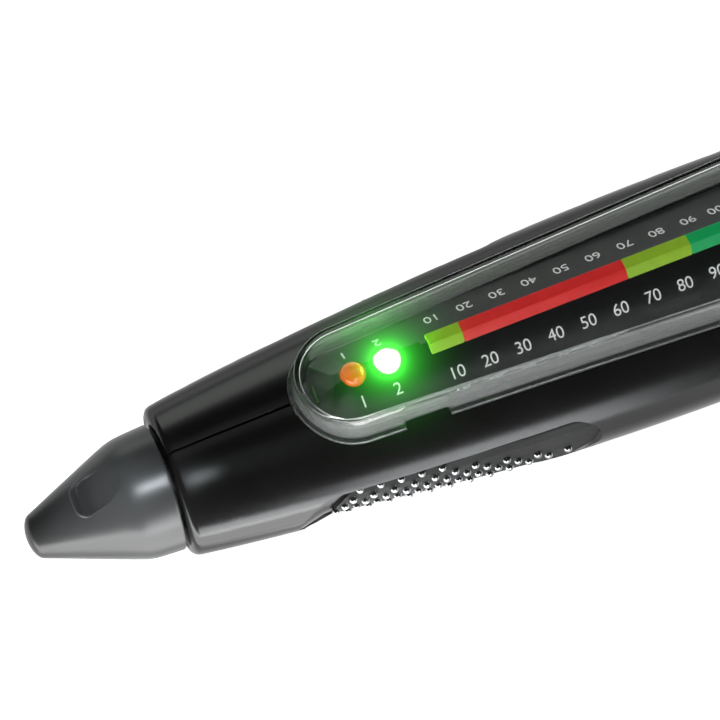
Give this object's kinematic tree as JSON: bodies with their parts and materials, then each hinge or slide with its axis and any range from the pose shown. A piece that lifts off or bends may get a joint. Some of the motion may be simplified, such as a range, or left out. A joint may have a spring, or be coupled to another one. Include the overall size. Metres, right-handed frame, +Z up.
{
  "type": "diamond tester",
  "caption": "Pen-shaped hand tester for stones with a pull-off nose cap over a sprung probe, a domed clear window over a coloured light bar, studded finger grips and a sliding battery door.",
  "frame": {"origin": "centre of the bounding box's footprint, on the flat underside", "axes": "+X from the nose to the tail, +Z up through the window, -Y the side with the left grip"},
  "size_m": [0.176, 0.0306, 0.0242],
  "materials": {
    "shell": "satin",
    "cap": "matte",
    "clear": "polished",
    "panel": "satin",
    "bar_yellow": "satin",
    "bar_red": "satin",
    "bar_green": "satin",
    "lamp_green": "lit",
    "lamp_orange": "gloss",
    "grip": "matte",
    "stud": "polished",
    "inner_plastic": "matte",
    "seal": "matte",
    "steel": "satin",
    "probe": "polished",
    "board": "satin",
    "chip_led": "gloss",
    "button": "satin",
    "plunger": "matte",
    "cell": "gloss",
    "contact": "polished"
  },
  "bodies": {
    "body": {"left_shell": "shell", "right_shell": "shell", "window": "clear", "display_prism": "panel", "bar_first": "bar_yellow", "bar_red": "bar_red", "bar_second": "bar_yellow", "bar_green": "bar_green", "ready_lamp": "lamp_green", "battery_lamp": "lamp_orange", "left_grip": "grip", "right_grip": "grip", "left_studs": "stud", "right_studs": "stud", "nose_collar": "inner_plastic", "cap_seal": "seal", "probe_barrel": "steel", "probe_spring": "steel", "main_board": "board", "bar_leds": "chip_led", "controller": "inner_plastic", "buzzer": "inner_plastic", "push_switch": "steel", "battery_tray": "inner_plastic", "battery_cells": "cell", "front_contacts": "contact", "rear_contacts": "contact", "contact_springs": "contact", "shell_screws": "steel"},
    "cap": {"nose_cap": "cap"},
    "probe": {"probe_tip": "probe"},
    "button": {"power_button": "button", "switch_plunger": "plunger"},
    "door": {"battery_door": "shell"}
  },
  "joints": [
    {"name": "cap_pull", "type": "slide", "parent": "body", "child": "cap", "axis": [-1, 0, 0], "range_m": [0, 0.04]},
    {"name": "probe_press", "type": "slide", "parent": "body", "child": "probe", "axis": [1, 0, 0], "range_m": [0, 0.0015], "stiffness_N_per_m": 300, "springref_m": -0.0005, "deforming": ["probe_spring"]},
    {"name": "button_press", "type": "slide", "parent": "body", "child": "button", "axis": [0, 0, -1], "range_m": [0, 0.0008], "stiffness_N_per_m": 600, "springref_m": -0.0003},
    {"name": "battery_slide", "type": "slide", "parent": "body", "child": "door", "axis": [1, 0, 0], "range_m": [0, 0.052]}
  ]
}
